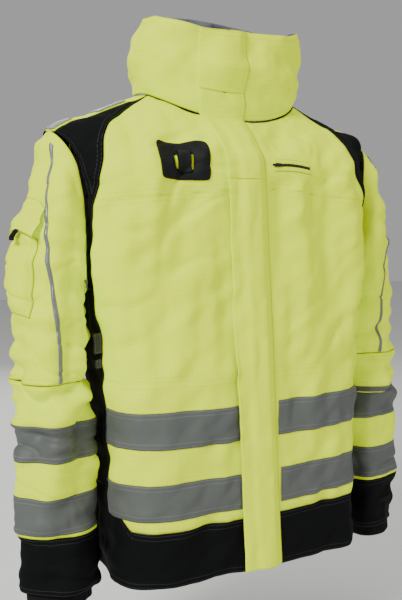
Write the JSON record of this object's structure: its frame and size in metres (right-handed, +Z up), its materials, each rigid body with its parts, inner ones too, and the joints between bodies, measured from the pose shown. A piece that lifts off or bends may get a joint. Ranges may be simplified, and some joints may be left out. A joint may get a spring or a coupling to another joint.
{
  "type": "turnout coat",
  "caption": "High-visibility firefighter's coat in worn shape, with stand-up collar, storm flap, taped body and sleeves, knitted wristlets and bending sleeves.",
  "frame": {"origin": "middle of the neck opening at the height of the nape seam, where a wearer's or a stand's shoulders carry the coat", "axes": "+X to the wearer's left, -Y to the front, +Z up"},
  "size_m": [0.651, 0.2486, 0.8331],
  "materials": {
    "outer_cloth": "matt",
    "black_cloth": "matt",
    "reflective_tape": "satin",
    "lining": "matt",
    "moulded_plastic": "satin",
    "zip_metal": "satin",
    "hook_and_loop": "matt",
    "knit": "matt",
    "piping_tape": "satin",
    "patch_rubber": "satin",
    "label_cloth": "satin"
  },
  "bodies": {
    "torso": {"right_front": "outer_cloth", "left_front": "outer_cloth", "back_panel": "outer_cloth", "right_side_panel": "black_cloth", "left_side_panel": "black_cloth", "right_yoke": "outer_cloth", "left_yoke": "outer_cloth", "yoke_tapes": "reflective_tape", "hem_right": "black_cloth", "hem_left": "black_cloth", "hem_back": "black_cloth", "front_tapes_right": "reflective_tape", "front_tapes_left": "reflective_tape", "back_tapes": "reflective_tape", "collar_shell": "outer_cloth", "collar_lining": "lining", "liner_right": "lining", "liner_left": "lining", "liner_back": "lining", "zip_tape_right": "black_cloth", "zip_tape_left": "black_cloth", "zip_teeth": "moulded_plastic", "zip_box": "moulded_plastic", "flap_throat": "outer_cloth", "front_loop_tape": "hook_and_loop", "mic_patch": "patch_rubber", "mic_loop": "patch_rubber", "chest_zip": "black_cloth", "chest_pocket_bag": "black_cloth", "side_label": "label_cloth", "side_tab": "label_cloth", "sleeve_pocket": "outer_cloth", "right_sleeve_head": "outer_cloth", "left_sleeve_head": "outer_cloth", "right_sleeve_bend": "outer_cloth", "left_sleeve_bend": "outer_cloth", "right_piping": "piping_tape", "left_piping": "piping_tape"},
    "front_slider": {"zip_slider": "zip_metal", "zip_pull": "moulded_plastic"},
    "front_flap": {"storm_flap": "outer_cloth", "flap_hook_tape": "hook_and_loop"},
    "collar_flap": {"collar_flap": "outer_cloth"},
    "pocket_slider": {"chest_zip_slider": "zip_metal"},
    "arm_pocket_flap": {"sleeve_pocket_flap": "outer_cloth", "sleeve_pocket_tab": "moulded_plastic"},
    "hanger": {"hang_loop": "black_cloth"},
    "right_upper_arm": {"right_upper_sleeve": "outer_cloth", "right_elbow": "outer_cloth"},
    "left_upper_arm": {"left_upper_sleeve": "outer_cloth", "left_elbow": "outer_cloth"},
    "right_forearm": {"right_lower_sleeve": "outer_cloth", "right_sleeve_tapes": "reflective_tape", "right_cuff": "black_cloth", "right_wristlet": "knit"},
    "left_forearm": {"left_lower_sleeve": "outer_cloth", "left_sleeve_tapes": "reflective_tape", "left_cuff": "black_cloth", "left_wristlet": "knit"}
  },
  "joints": [
    {"name": "front_zip", "type": "slide", "parent": "torso", "child": "front_slider", "axis": [0.0428, 0.0005, -0.9991], "range_m": [0, 0.529]},
    {"name": "storm_flap_hinge", "type": "hinge", "parent": "torso", "child": "front_flap", "pos_m": [0.01042, -0.12986, -0.2], "axis": [-0.0428, -0.0005, 0.9991], "range_deg": [0, 120]},
    {"name": "collar_flap_hinge", "type": "hinge", "parent": "torso", "child": "collar_flap", "pos_m": [0.00282, -0.08826, -0.02729], "axis": [-0.002, -0.1073, 0.9942], "range_deg": [0, 85]},
    {"name": "chest_zip", "type": "slide", "parent": "torso", "child": "pocket_slider", "axis": [0.9981, 0.0106, -0.0603], "range_m": [0, 0.05]},
    {"name": "arm_pocket_flap_hinge", "type": "hinge", "parent": "torso", "child": "arm_pocket_flap", "pos_m": [-0.29644, -0.01672, -0.17384], "axis": [-0.0689, 0.9904, 0.1201], "range_deg": [0, 80]},
    {"name": "hanger_hinge", "type": "hinge", "parent": "torso", "child": "hanger", "pos_m": [0, 0.0763, -0.002], "axis": [1, 0, 0], "range_deg": [-80, 0]},
    {"name": "right_arm_raise", "type": "hinge", "parent": "torso", "child": "right_upper_arm", "pos_m": [-0.282, 0, -0.29], "axis": [0, 1, 0], "range_deg": [0, 45], "deforming": ["right_sleeve_bend", "right_piping", "sleeve_pocket"]},
    {"name": "right_elbow", "type": "hinge", "parent": "right_upper_arm", "child": "right_forearm", "pos_m": [-0.268, -0.045, -0.476], "axis": [-1, 0, 0], "range_deg": [0, 90], "deforming": ["right_elbow", "right_sleeve_tapes"]},
    {"name": "left_arm_raise", "type": "hinge", "parent": "torso", "child": "left_upper_arm", "pos_m": [0.282, 0, -0.29], "axis": [0, -1, 0], "range_deg": [0, 45], "deforming": ["left_sleeve_bend", "left_piping"]},
    {"name": "left_elbow", "type": "hinge", "parent": "left_upper_arm", "child": "left_forearm", "pos_m": [0.268, -0.045, -0.476], "axis": [-1, 0, 0], "range_deg": [0, 90], "deforming": ["left_elbow", "left_sleeve_tapes"]}
  ]
}
